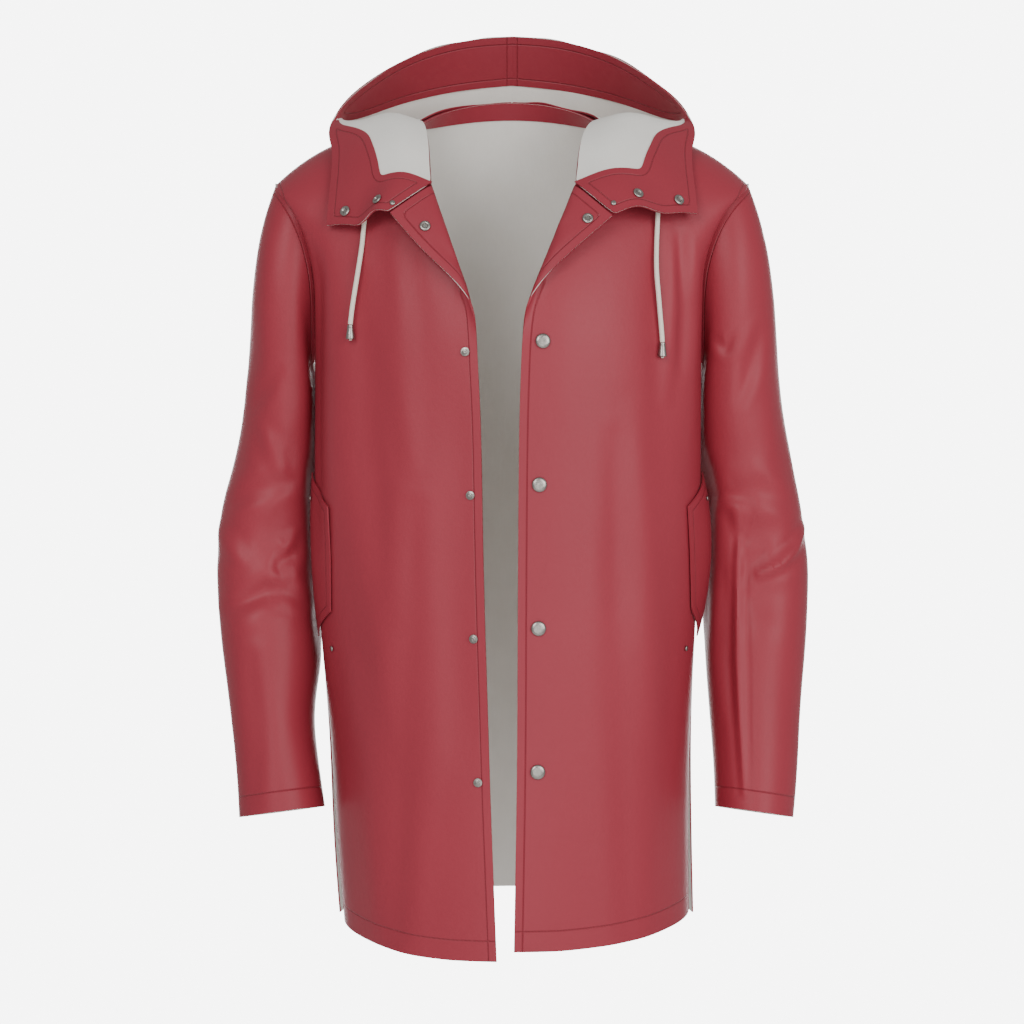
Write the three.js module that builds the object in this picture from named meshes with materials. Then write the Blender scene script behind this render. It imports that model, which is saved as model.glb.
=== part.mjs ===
// A hooded raincoat of coated cotton, as it hangs on a wearer: open in front, the hood down behind the neck.
// Millimetres, +Z up, -Y to the front. The origin lies between the shoulders, as high as the neck points.
import * as THREE from 'three';
import { mergeVertices } from 'three/addons/utils/BufferGeometryUtils.js';

const cloth = 1.6;            // thickness of the coated cotton
const seam = 0.5;             // gap between sewn pieces
const chestZ = -255;          // height of the underarm
const neckZ = 4;              // height where shoulder seam and neckline meet
const shoulderDrop = 64;
const shoulderFromX = 98;     // where the shoulder line starts to fall
const hemRise = 17;           // how much higher the hem hangs at the sides than in front
const backHemZ = -838;
const seamY = -6;             // depth of the shoulder seam
const bodyRadius = 160;       // rough radius of the body, to turn gaps into angles
const pinch = { at: 112, wide: 16 };  // where the arms press the back's sides in, in degrees
const tipX = 250;             // half the width between the shoulder tips
const frontBulge = 42;        // how far the front armhole curves forward
const backBulge = 26;
const backNeckY = 88;
const backNeckZ = 37;
const rollRadius = 5;
const rollTurn = THREE.MathUtils.degToRad(170);
const ventTopZ = -545;
const ventGap = 7;            // how far the vent's edges part at the hem
const snapSpacing = 145.5;
const sleeveClear = 2.2;      // gap between the sleeve and the body beside it
const armholeGap = 1.3;       // gap between the sleeve and the armhole, where the walls lean together
const flapTopZ = -366;
const flapBottomZ = -540;

const rightSide = {
  name: 'right', sign: -1, neckX: 98, hemZ: -860, snapInset: 12, firstSnapZ: -241,
  rollFoot: { x: 36, z: -215 }, rollTop: { x: 84, z: -78 }, cornerZ: -110,
  flapLift: 3, flapFrom: [61, 65],
};
const leftSide = {
  name: 'left', sign: 1, neckX: 93, hemZ: -850, snapInset: 21, firstSnapZ: -230,
  rollFoot: { x: 11, z: -215 }, rollTop: { x: 66, z: -78 }, cornerZ: -98,
  flapLift: 11, flapFrom: [64, 71],
};
const sides = [rightSide, leftSide];

// Each row is a level section of the body of the coat.
const bodySections = [
  { z: -900, right: 178, left: 194, mid: -10, front: 168, back: 178, pinch: 0 },
  { z: -760, right: 189, left: 191, mid: -12, front: 165, back: 176, pinch: 0 },
  { z: -640, right: 195, left: 191, mid: -16, front: 160, back: 170, pinch: 2 },
  { z: -520, right: 206, left: 197, mid: -20, front: 154, back: 162, pinch: 12 },
  { z: -400, right: 212, left: 202, mid: -22, front: 148, back: 154, pinch: 22 },
  { z: -255, right: 212, left: 203, mid: -22, front: 141, back: 160, pinch: 26 },
];

// Each row is where a front's free edge hangs, as a distance from the middle.
const edgeRows = [
  { z: -900, right: 14, left: 1 },
  { z: -665, right: 23, left: 5 },
  { z: -480, right: 29, left: 6 },
  { z: -290, right: 33, left: 8 },
  { z: -215, right: 36, left: 11 },
  { z: -182, right: 34, left: 13 },
  { z: -150, right: 31, left: 14 },
  { z: -120, right: 25, left: 11 },
  { z: -78, right: 22, left: 5 },
];

// Soft upright folds in the fronts and the back: at is the angle round the body, depth the fold's reach.
const frontFolds = [
  { at: 60, wide: 9, depth: 7, fromZ: -470, toZ: -90, side: 'right' },
  { at: 74, wide: 6, depth: -6, fromZ: -470, toZ: -80, side: 'right' },
  { at: 36, wide: 10, depth: 5, fromZ: -900, toZ: -420, side: 'right' },
  { at: 16, wide: 8, depth: -5, fromZ: -700, toZ: -250, side: 'right' },
  { at: 64, wide: 8, depth: 7, fromZ: -380, toZ: -80, side: 'left' },
  { at: 52, wide: 6, depth: -5, fromZ: -360, toZ: -70, side: 'left' },
  { at: 40, wide: 11, depth: 4, fromZ: -900, toZ: -450, side: 'left' },
];
const backFolds = [
  { at: 118, wide: 9, depth: 7, fromZ: -520, toZ: -90 },
  { at: 134, wide: 8, depth: -6, fromZ: -480, toZ: -120 },
  { at: 150, wide: 9, depth: 6, fromZ: -900, toZ: -360 },
  { at: 168, wide: 9, depth: -6, fromZ: -900, toZ: -420 },
];

// Each row is a section across the arm: middle, half widths, and how far the front of the section dips.
const rightArm = [
  { z: -305, x: 240, y: 18, halfX: 49, halfY: 74, dip: 8 },
  { z: -352, x: 245, y: 20, halfX: 53, halfY: 71, dip: 5 },
  { z: -410, x: 257, y: 20, halfX: 57, halfY: 67, dip: 2 },
  { z: -455, x: 260, y: 16, halfX: 57, halfY: 64, dip: 0 },
  { z: -505, x: 260, y: 8, halfX: 56, halfY: 61, dip: -2 },
  { z: -560, x: 256, y: -2, halfX: 54, halfY: 58, dip: -4 },
  { z: -620, x: 256, y: -14, halfX: 45, halfY: 54, dip: -5 },
  { z: -680, x: 249, y: -27, halfX: 44, halfY: 51, dip: -6 },
  { z: -726, x: 244, y: -36, halfX: 46, halfY: 50, dip: -7 },
];
const leftArm = [
  { z: -305, x: 240, y: 18, halfX: 52, halfY: 74, dip: 8 },
  { z: -352, x: 246, y: 20, halfX: 55, halfY: 71, dip: 5 },
  { z: -410, x: 255, y: 20, halfX: 57, halfY: 67, dip: 2 },
  { z: -455, x: 260, y: 16, halfX: 58, halfY: 64, dip: 0 },
  { z: -505, x: 260, y: 8, halfX: 58, halfY: 61, dip: -2 },
  { z: -560, x: 260, y: -2, halfX: 54, halfY: 58, dip: -4 },
  { z: -620, x: 259, y: -14, halfX: 49, halfY: 54, dip: -5 },
  { z: -680, x: 259, y: -27, halfX: 45, halfY: 51, dip: -6 },
  { z: -726, x: 257, y: -36, halfX: 42, halfY: 50, dip: -7 },
];
rightSide.arm = rightArm;
leftSide.arm = leftArm;

// Folds across the arm: round is the angle from the outer side towards the front.
const sleeveFolds = [
  { z: -398, tall: 24, round: 60, wide: 50, depth: 6 },
  { z: -432, tall: 15, round: 98, wide: 50, depth: -11 },
  { z: -465, tall: 20, round: 55, wide: 55, depth: 7 },
  { z: -500, tall: 14, round: 92, wide: 55, depth: -10 },
  { z: -538, tall: 24, round: 60, wide: 50, depth: 6 },
  { z: -470, tall: 20, round: 300, wide: 50, depth: -5 },
  { z: -440, tall: 26, round: 270, wide: 60, depth: 6 },
  { z: -345, tall: 20, round: 110, wide: 50, depth: -6 },
];

// Each row is a line across the hood, from the neckline to its rim: 0 is the front, 1 the back.
const hoodLines = [
  { at: 0.00, rimX: 190, rimY: -97, rimZ: -108, bagX: 155, bagY: -120, bagZ: -110, belly: 2 },
  { at: 0.09, rimX: 189, rimY: -90, rimZ: -88, bagX: 148, bagY: -108, bagZ: -80, belly: 2 },
  { at: 0.19, rimX: 187, rimY: -76, rimZ: -62, bagX: 142, bagY: -95, bagZ: -50, belly: 3 },
  { at: 0.34, rimX: 187, rimY: -54, rimZ: -31, bagX: 146, bagY: -62, bagZ: -14, belly: 4 },
  { at: 0.49, rimX: 193, rimY: -24, rimZ: -2, bagX: 158, bagY: -12, bagZ: 8, belly: 7 },
  { at: 0.60, rimX: 180, rimY: 8, rimZ: 28, bagX: 176, bagY: 58, bagZ: -22, belly: 16 },
  { at: 0.72, rimX: 148, rimY: 46, rimZ: 60, bagX: 150, bagY: 126, bagZ: -82, belly: 22 },
  { at: 0.84, rimX: 104, rimY: 84, rimZ: 90, bagX: 96, bagY: 168, bagZ: -130, belly: 26 },
  { at: 0.93, rimX: 50, rimY: 108, rimZ: 108, bagX: 44, bagY: 182, bagZ: -150, belly: 28 },
  { at: 1.00, rimX: 0, rimY: 114, rimZ: 112, bagX: 0, bagY: 186, bagZ: -156, belly: 28 },
];

const rad = THREE.MathUtils.degToRad;
const clamp = THREE.MathUtils.clamp;
const lerp = THREE.MathUtils.lerp;
const ease = (from, to, value) => THREE.MathUtils.smoothstep(value, from, to);
const hump = (distance, wide) => Math.exp(-((distance / wide) ** 2));

// Reads a column of a table between its rows, on a smooth curve.
function read(rows, key, place, column) {
  const up = rows[rows.length - 1][key] > rows[0][key] ? 1 : -1;
  let k = 0;
  while (k < rows.length - 2 && (rows[k + 1][key] - place) * up < 0) k++;
  const a = rows[k];
  const b = rows[k + 1];
  const slope = (r, s) => (s[column] - r[column]) / (s[key] - r[key]);
  const here = slope(a, b);
  const before = k > 0 ? (slope(rows[k - 1], a) + here) / 2 : here;
  const after = k < rows.length - 2 ? (here + slope(b, rows[k + 2])) / 2 : here;
  const span = b[key] - a[key];
  const t = clamp((place - a[key]) / span, -0.3, 1.3);
  const t2 = t * t;
  const t3 = t2 * t;
  return a[column] * (2 * t3 - 3 * t2 + 1) + b[column] * (3 * t2 - 2 * t3)
    + span * (before * (t3 - 2 * t2 + t) + after * (t3 - t2));
}

// A closed wall between a grid of points and the same grid moved in along its normals.
// has says which cells of the grid are cloth; around joins the last column to the first.
function wall(point, columns, rows, options = {}) {
  const { outer = 0, inner = cloth, has = () => true, around = false, turn = 1, bend } = options;
  const small = 0.02;
  const places = [];
  const index = new Map();
  const normalAt = (i, j) => {
    const across = point(i + small, j).sub(point(i - small, j));
    const up = point(i, j + small).sub(point(i, j - small));
    const normal = across.cross(up).normalize().multiplyScalar(turn);
    if (bend) bend(normal, i, j);
    return normal.normalize();
  };
  const spot = (layer, i, j) => {
    const column = around ? (i + columns) % columns : i;
    const key = layer + '/' + column + '/' + j;
    if (!index.has(key)) {
      const depth = layer ? inner : outer;
      const p = point(column, j).addScaledVector(normalAt(column, j), -depth);
      index.set(key, places.length / 3);
      places.push(p.x, p.y, p.z);
    }
    return index.get(key);
  };
  const faces = [];
  const quad = (a, b, c, d) => faces.push(a, b, c, a, c, d);
  const inside = (i, j) => {
    const column = around ? (i + columns) % columns : i;
    return column >= 0 && column < columns && j >= 0 && j < rows && has(column, j);
  };
  for (let j = 0; j < rows; j++) {
    for (let i = 0; i < columns; i++) {
      if (!inside(i, j)) continue;
      quad(spot(0, i, j), spot(0, i + 1, j), spot(0, i + 1, j + 1), spot(0, i, j + 1));
      quad(spot(1, i, j), spot(1, i, j + 1), spot(1, i + 1, j + 1), spot(1, i + 1, j));
      const rim = (i0, j0, i1, j1) =>
        quad(spot(0, i1, j1), spot(0, i0, j0), spot(1, i0, j0), spot(1, i1, j1));
      if (!inside(i, j - 1)) rim(i, j, i + 1, j);
      if (!inside(i + 1, j)) rim(i + 1, j, i + 1, j + 1);
      if (!inside(i, j + 1)) rim(i + 1, j + 1, i, j + 1);
      if (!inside(i - 1, j)) rim(i, j + 1, i, j);
    }
  }
  const geometry = new THREE.BufferGeometry();
  geometry.setAttribute('position', new THREE.Float32BufferAttribute(places, 3));
  geometry.setIndex(faces);
  return facedOut(geometry);
}

// The body of the coat. angle runs from 0 in the middle of the front to 180 in the middle of the back.
const hemFoldZ = -900;        // a fold that starts here runs out through the hem
const foldFade = { below: 110, above: 90 };

function foldDepth(folds, side, angle, z) {
  let sum = 0;
  for (const f of folds) {
    if (f.side && f.side !== side.name) continue;
    const above = 1 - ease(f.toZ - foldFade.above, f.toZ, z);
    const below = f.fromZ <= hemFoldZ ? 1 : ease(f.fromZ - 1, f.fromZ + foldFade.below, z);
    sum += f.depth * hump(angle - f.at, f.wide) * Math.min(below, above);
  }
  return sum;
}

function section(side, angle, z) {
  const get = (column) => read(bodySections, 'z', z, column);
  const a = rad(angle);
  const depth = angle < 90 ? get('front') : get('back');
  return {
    x: get(side.name) * Math.sin(a) - get('pinch') * hump(angle - pinch.at, pinch.wide),
    y: get('mid') - depth * Math.cos(a),
  };
}

for (const side of sides) side.underarmX = section(side, 90, chestZ).x;
const armhole = { from: 0.2, to: 0.85, hollow: 3 };
const armholeX = (side, w) =>
  side.underarmX + (tipX - side.underarmX) * ease(armhole.from, armhole.to, w)
  - armhole.hollow * Math.sin(Math.PI * w);

function seamHeight(x) {
  const u = Math.max(0, (x - shoulderFromX) / (tipX - shoulderFromX));
  return neckZ - shoulderDrop * (0.32 * u + 0.68 * u ** 3);
}

// The hem hangs lowest in front.
const hemAt = (side, angle) => side.hemZ + hemRise * ease(10, 90, angle);
const ventAt = (side, z) => 1 - ease(side.hemZ + 20, ventTopZ, z);
const ventPush = { front: -3, back: 2 };

// A point of the fronts at a height below the underarm.
function lowFront(side, angle, z) {
  const s = section(side, angle, z);
  const vent = ventAt(side, z) * ease(60, 90, angle);
  const push = foldDepth(frontFolds, side, angle, z) + ventPush.front * vent;
  const a = rad(angle);
  return new THREE.Vector3(s.x + push * Math.sin(a), s.y - push * Math.cos(a), z);
}

// A point of the fronts above the underarm: w is 0 there and 1 at the shoulder seam.
function highFront(side, angle, w) {
  const s = section(side, angle, chestZ);
  const x = s.x * armholeX(side, w) / side.underarmX;
  const over = w * Math.PI / 2;
  const z = chestZ + (seamHeight(x) - chestZ) * Math.sin(over);
  const bulge = frontBulge * Math.sin(Math.PI * w) * ease(40, 92, angle);
  const fade = 1 - ease(0.55, 1, w);
  const push = foldDepth(frontFolds, side, angle, z) * fade;
  const a = rad(angle);
  const y = seamY + (s.y - seamY) * Math.cos(over) - bulge;
  return new THREE.Vector3(x + push * Math.sin(a), y - push * Math.cos(a), z);
}

// The same surface from a distance to the side and a height, for the middle part where each has one answer.
function angleAt(side, x, z, w) {
  const wide = w > 0 ? armholeX(side, w) / side.underarmX : 1;
  const half = read(bodySections, 'z', Math.min(z, chestZ), side.name) * wide;
  return THREE.MathUtils.radToDeg(Math.asin(clamp(x / half, -0.95, 0.95)));
}

function frontAt(side, x, z) {
  if (z <= chestZ) return lowFront(side, angleAt(side, x, z, 0), z);
  const rise = clamp((z - chestZ) / (seamHeight(x) - chestZ), 0, 1);
  const w = Math.asin(rise) / (Math.PI / 2);
  return highFront(side, angleAt(side, x, z, w), w);
}

// The front's cloth past the roll line turns outwards and lies back over the chest as a lapel.
function rolledFront(side, x, z) {
  const { rollFoot: foot, rollTop: top } = side;
  const run = Math.hypot(top.x - foot.x, top.z - foot.z);
  const dir = { x: (top.x - foot.x) / run, z: (top.z - foot.z) / run };
  const past = { x: -dir.z, z: dir.x };
  const distance = (x - foot.x) * past.x + (z - foot.z) * past.z;
  const along = (x - foot.x) * dir.x + (z - foot.z) * dir.z;
  if (distance <= 0 || along <= 0) return frontAt(side, x, z);
  const fx = foot.x + along * dir.x;
  const fz = foot.z + along * dir.z;
  const base = frontAt(side, fx, fz);
  const step = 0.5;
  const towards = frontAt(side, fx + step * past.x, fz + step * past.z).sub(base).normalize();
  const line = frontAt(side, fx + step * dir.x, fz + step * dir.z).sub(base).normalize();
  const out = new THREE.Vector3().crossVectors(towards, line).normalize();
  if (out.y > 0) out.negate();
  const turned = Math.min(distance / rollRadius, rollTurn);
  const rest = Math.max(0, distance - rollRadius * rollTurn);
  return base
    .addScaledVector(towards, rollRadius * Math.sin(turned) + rest * Math.cos(rollTurn))
    .addScaledVector(out, rollRadius * (1 - Math.cos(turned)) + rest * Math.sin(rollTurn));
}

const edgeX = (side, z) => read(edgeRows, 'z', z, side.name);

// Rows of the fronts: below the underarm they are heights, above it shares of the way to the shoulder.
const lowRows = 16;
const highRows = 12;
const rollRow = lowRows + highRows / 2;
const frontRows = lowRows + highRows;
const edgeColumns = 6;
const edgeWidth = 45;         // width of the red facing inside each front edge
const frontColumns = 16;
const rollShare = 0.5;
const firstAngle = 15;        // where a front's rows are measured at its inner end
const sideAngle = 90;
const ventShare = { front: 0.5, back: 0.3 };  // how much of the vent's gap each side gives
const tapeShare = 0.045;      // share of the way round that the column under the neck tape takes

function rowOf(side, j, angle) {
  if (j <= lowRows) return { z: lerp(hemAt(side, angle), chestZ, j / lowRows), w: 0 };
  const w = (j - lowRows) / highRows;
  return { z: chestZ + (neckZ - chestZ) * Math.sin(w * Math.PI / 2), w };
}

// Where the column beside the lapel runs: down the front, then along the neckline.
function innerColumnX(side, z, w) {
  const foot = side.rollFoot;
  const start = edgeX(side, z) + edgeWidth;
  if (z < foot.z) return start;
  const risen = (z - foot.z) / (side.rollTop.z - foot.z);
  if (w <= rollShare) return lerp(edgeX(side, foot.z) + edgeWidth, side.rollTop.x, risen);
  const up = (w - rollShare) / (1 - rollShare);
  return lerp(side.rollTop.x, side.neckX, up * up);
}

function frontPoint(side, i, j) {
  const onEdge = i <= edgeColumns && j < rollRow + 0.5;
  const column = i - edgeColumns;
  const beyond = lerp(tapeShare, 1, (column - 1) / (frontColumns - edgeColumns - 1));
  const round = onEdge ? 0 : (column < 1 ? column * tapeShare : beyond);
  const { z, w } = rowOf(side, j, lerp(firstAngle, sideAngle, round));
  const innerX = innerColumnX(side, z, w);
  let p;
  if (onEdge) {
    const x = lerp(edgeX(side, z), innerX, i / edgeColumns);
    p = rolledFront(side, x, z);
  } else {
    const start = angleAt(side, innerX, z, w);
    const gap = seam / 2 + ventGap * ventShare.front * ventAt(side, z);
    const end = sideAngle - THREE.MathUtils.radToDeg(gap / bodyRadius);
    const angle = lerp(start, end, round);
    p = w > 0 ? highFront(side, angle, w) : lowFront(side, angle, z);
  }
  if (w >= 1) p.y -= seam / 2;
  p.x *= side.sign;
  return p;
}

const isFront = (i, j) => j < rollRow || i >= edgeColumns;

// Along the shoulder seam the walls of front and back meet on one upright plane.
function bendFront(normal, i, j) {
  if (j === frontRows) normal.y = 0;
}

// The back, from the side seam on the right (share -1) to the one on the left (share 1).
const backHalfColumns = 10;
const neckColumns = 4;
const upright = 90;           // lean of the back's top row along the shoulders, in degrees
const neckLean = 52;          // and behind the neck

function backTop(share) {
  const column = Math.abs(share) * backHalfColumns;
  const sign = Math.sign(share) || 1;
  const neckX = sign < 0 ? rightSide.neckX : leftSide.neckX;
  if (column <= neckColumns) {
    const a = column / neckColumns * Math.PI / 2;
    return {
      x: sign * neckX * Math.sin(a),
      y: seamY + (backNeckY - seamY) * Math.cos(a),
      z: lerp(neckZ, backNeckZ, Math.cos(a) ** 1.3),
      lean: lerp(upright, neckLean, Math.cos(a)),
    };
  }
  const x = lerp(neckX, tipX, (column - neckColumns) / (backHalfColumns - neckColumns));
  return { x: sign * x, y: seamY, z: seamHeight(x), lean: upright };
}

function backPoint(i, j) {
  const share = (i - backHalfColumns) / backHalfColumns;
  const sign = Math.sign(share) || 1;
  const far = Math.abs(share);
  const low = j <= lowRows;
  const side = sign < 0 ? rightSide : leftSide;
  const w = low ? 0 : (j - lowRows) / highRows;
  const z = low ? lerp(backHemZ, chestZ, j / lowRows) : chestZ;
  const vent = ventAt(side, z);
  const gap = THREE.MathUtils.radToDeg((seam / 2 + ventGap * ventShare.back * vent) / bodyRadius);
  const angle = 180 - (180 - sideAngle - gap) * far;
  const a = rad(angle);
  const s = section(side, angle, z);
  const push = foldDepth(backFolds, side, angle, z) * (sign > 0 ? 1 : 0.7)
    + ventPush.back * vent * (1 - ease(90, 130, angle));
  if (low) return new THREE.Vector3(sign * (s.x + push * Math.sin(a)), s.y - push * Math.cos(a), z);
  const top = backTop(share);
  const over = w * rad(top.lean);
  const fade = 1 - ease(0, 0.8, w);
  const chestX = sign * (s.x + push * fade * Math.sin(a));
  const chestY = s.y - push * fade * Math.cos(a);
  const atArm = sign * (armholeX(side, w) - lerp(side.underarmX, tipX, w)) * far ** 3;
  const forward = (Math.cos(over) - Math.cos(rad(top.lean))) / (1 - Math.cos(rad(top.lean)));
  const bulge = backBulge * Math.sin(Math.PI * w) * ease(0.45, 1, far);
  return new THREE.Vector3(
    lerp(chestX, top.x, w) + atArm,
    top.y + (chestY - top.y) * forward + bulge + seam / 2,
    chestZ + (top.z - chestZ) * Math.sin(over) / Math.sin(rad(top.lean)),
  );
}

function bendBack(normal, i, j) {
  if (j === frontRows && Math.abs(i - backHalfColumns) >= neckColumns) normal.y = 0;
}

// The sleeve starts on the armhole and turns down along the arm.
const loopPoints = 2 * highRows;
const capRows = 6;
const armRows = 13;
const capLeave = { x: 0.42, y: -0.3, z: -0.9 };   // the way the cap leaves the armhole
const capArrive = { x: 0.1, more: 0.06, z: -1 };  // and the way it runs into the arm

function armholePoint(side, m) {
  const lap = ((m % loopPoints) + loopPoints) % loopPoints;
  const front = lap <= highRows;
  const j = front ? frontRows - lap : lap - highRows + lowRows;
  const last = backHalfColumns * (1 + side.sign);
  const p = front ? frontPoint(side, frontColumns, j) : backPoint(last, j);
  const inward = 0.1;
  const before = front
    ? frontPoint(side, frontColumns - inward, j)
    : backPoint(last - inward * side.sign, j);
  const away = p.clone().sub(before).normalize();
  away.x += side.sign;
  p.addScaledVector(away.normalize(), armholeGap);
  if (j === frontRows) p.y = seamY;
  p.x *= side.sign;
  return p;
}

// Round the top of the armhole the sleeve's first row leans like the panel it is sewn to.
function bendSleeve(side) {
  return (normal, m, j) => {
    if (j !== 0) return;
    const front = m <= highRows;
    const row = front ? frontRows - m : m - highRows + lowRows;
    const column = front ? frontColumns : backHalfColumns * (1 + side.sign);
    const point = front ? (i, k) => frontPoint(side, i, k) : backPoint;
    const step = 0.02;
    const across = point(column + step, row).sub(point(column - step, row));
    const up = point(column, row + step).sub(point(column, row - step));
    const panel = across.cross(up).normalize().multiplyScalar(front ? side.sign : -1);
    if (row === frontRows) panel.y = 0;
    normal.lerp(panel.normalize(), ease(-0.2, 0.5, Math.cos(m / loopPoints * 2 * Math.PI)));
  };
}

// How far the body reaches to the side at a depth and a height, pocket flap included.
const reachAngles = { from: 40, to: 150 };
const reachDepth = 4;         // how near in depth a point of the body counts as beside the arm
const flapMargin = 20;
const flapBackY = 15;         // the flap lies in front of this depth

function bodyReach(side, y, z) {
  let reach = 0;
  const low = Math.min(z, chestZ);
  for (let angle = reachAngles.from; angle < reachAngles.to; angle += 1) {
    const s = section(side, angle, low);
    const push = foldDepth(angle < sideAngle ? frontFolds : backFolds, side, angle, low);
    const out = s.x + Math.max(0, push) + ventPush.back * ventAt(side, z);
    if (Math.abs(s.y - y) < reachDepth) reach = Math.max(reach, out);
  }
  const byFlap = z < flapTopZ + flapMargin && z > flapBottomZ - flapMargin && y < flapBackY;
  return reach + (byFlap ? side.flapLift + 3 : 0);
}

const cuff = { slant: 6, z: -726, fromZ: -600 };

function armRing(side, m, z) {
  const get = (column) => read(side.arm, 'z', z, column);
  const a = m / loopPoints * 2 * Math.PI;
  const degrees = m / loopPoints * 360;
  let push = 0;
  for (const f of sleeveFolds) {
    const away = ((degrees - f.round + 540) % 360) - 180;
    push += f.depth * hump(away, f.wide * 0.6) * hump(z - f.z - away * 0.15, f.tall);
  }
  const inward = Math.max(0, -Math.cos(a));
  push *= 1 - 0.9 * inward;
  const tilt = get('dip') * Math.sin(a);
  const p = new THREE.Vector3(
    get('x') + (get('halfX') + push) * Math.cos(a),
    get('y') - (get('halfY') + push) * Math.sin(a),
    z - tilt - cuff.slant * Math.cos(a) * (1 - ease(cuff.z, cuff.fromZ, z)),
  );
  p.x = Math.max(p.x, bodyReach(side, p.y, p.z) + sleeveClear);
  return p;
}

function sleevePoint(side, m, j) {
  let p;
  if (j <= capRows) {
    const t = j / capRows;
    const from = armholePoint(side, m);
    const to = armRing(side, m, side.arm[0].z);
    const a = m / loopPoints * 2 * Math.PI;
    const topness = (1 + Math.cos(a)) / 2;
    const reach = from.distanceTo(to);
    const leave = new THREE.Vector3(capLeave.x, capLeave.y * Math.sin(a), capLeave.z)
      .normalize().multiplyScalar(reach);
    const arrive = new THREE.Vector3(capArrive.x + capArrive.more * topness, 0, capArrive.z)
      .multiplyScalar(reach);
    const t2 = t * t;
    const t3 = t2 * t;
    p = from.clone().multiplyScalar(2 * t3 - 3 * t2 + 1)
      .addScaledVector(to, 3 * t2 - 2 * t3)
      .addScaledVector(leave, t3 - 2 * t2 + t)
      .addScaledVector(arrive, t3 - t2);
  } else {
    const last = side.arm[side.arm.length - 1].z;
    p = armRing(side, m, lerp(side.arm[0].z, last, (j - capRows) / armRows));
  }
  p.x *= side.sign;
  return p;
}

// The neckline, from the lapel's edge (0) round to the middle of the back (1).
const lapelShare = 0.17;
const neckShare = 0.5;

function necklinePoint(side, s) {
  if (s <= lapelShare) return frontPoint(side, s / lapelShare * edgeColumns, rollRow);
  if (s <= neckShare) {
    const j = lerp(rollRow, frontRows, (s - lapelShare) / (neckShare - lapelShare));
    return frontPoint(side, edgeColumns, j);
  }
  const share = (1 - (s - neckShare) / (1 - neckShare)) * neckColumns / backHalfColumns;
  return backPoint(backHalfColumns + side.sign * share * backHalfColumns, frontRows);
}

const hoodColumns = 20;
const bagRows = 9;            // rows of the hood between the neckline and its facing
const hoodRows = 13;

// How far the hood's red facing reaches in from the rim, as a share of the line across the hood.
const facingRows = [
  { at: 0.00, from: 0.35 },
  { at: 0.15, from: 0.42 },
  { at: 0.20, from: 0.45 },
  { at: 0.30, from: 0.51 },
  { at: 0.37, from: 0.56 },
  { at: 0.43, from: 0.80 },
  { at: 0.60, from: 0.86 },
  { at: 0.75, from: 0.905 },
  { at: 1.00, from: 0.925 },
];
const chinColumns = 3;        // columns of the hood that are faced from rim to neckline
const neckStep = new THREE.Vector3(0.6, -1.2, 1.6);  // the hood's first row, off the neckline
const middleCornerZ = -108;   // height of the hood's corner that the table is written for
const hoodStart = 0.006;      // share of a line that the seam at the neck takes
const middleGap = 0.7;        // half the gap between the hood's halves
const pastRim = 100;          // how fast the surface runs on past the rim
const pastMiddle = 150;       // and past the middle

function hoodShare(s, j) {
  const from = read(facingRows, 'at', clamp(s, 0, 1), 'from');
  if (j <= bagRows) return from * j / bagRows;
  return lerp(from, 1, (j - bagRows) / (hoodRows - bagRows));
}

// The hood: s runs along the neckline, t from the neckline to the rim.
function hoodPoint(side, s, t) {
  const get = (column) => read(hoodLines, 'at', clamp(s, 0, 1), column);
  const neck = necklinePoint(side, clamp(s, 0, 1));
  neck.x *= side.sign;
  neck.add(neckStep);
  const corner = (side.cornerZ - middleCornerZ) * (1 - ease(0, 0.35, s));
  const bag = new THREE.Vector3(get('bagX'), get('bagY'), get('bagZ') + corner);
  const rim = new THREE.Vector3(get('rimX'), get('rimY'), get('rimZ') + corner);
  const deep = ease(0.45, 0.9, s);
  const away = new THREE.Vector3(rim.x * 0.6, bag.y + 30, 0).normalize();
  const down = neck.clone().lerp(bag, 0.5);
  down.addScaledVector(away, lerp(0, 8, deep));
  down.add(new THREE.Vector3(0, lerp(-3, 0, deep), lerp(8, 2, deep)));
  const up = bag.clone().lerp(rim, 0.42).addScaledVector(away, get('belly') * lerp(0.2, 1.25, deep));
  up.z += lerp(2, -10, deep);
  const curve = new THREE.CatmullRomCurve3([neck, down, bag, up, rim], false, 'centripetal');
  const p = curve.getPoint(clamp(hoodStart + t * (1 - hoodStart), 0, 1));
  if (t > 1) p.addScaledVector(curve.getTangent(1), (t - 1) * pastRim);
  p.x = Math.max(p.x, 0) + middleGap * ease(0.9, 1, s);
  if (s > 1) p.x -= (s - 1) * pastMiddle;
  p.x *= side.sign;
  return p;
}

const group = new THREE.Group();
const shades = {
  outside: new THREE.MeshStandardMaterial({ color: 0xa8434b, roughness: 0.45, metalness: 0 }),
  metal: new THREE.MeshStandardMaterial({ color: 0xb9b0a2, roughness: 0.3, metalness: 1 }),
  cotton: new THREE.MeshStandardMaterial({ color: 0xe9dfce, roughness: 0.9, metalness: 0 }),
};

function add(name, geometry, shade = shades.outside) {
  const mesh = new THREE.Mesh(geometry, shade);
  mesh.name = name;
  group.add(mesh);
  return mesh;
}

const hoodAt = (side) => (i, j) => hoodPoint(side, i / hoodColumns, hoodShare(i / hoodColumns, j));

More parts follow.
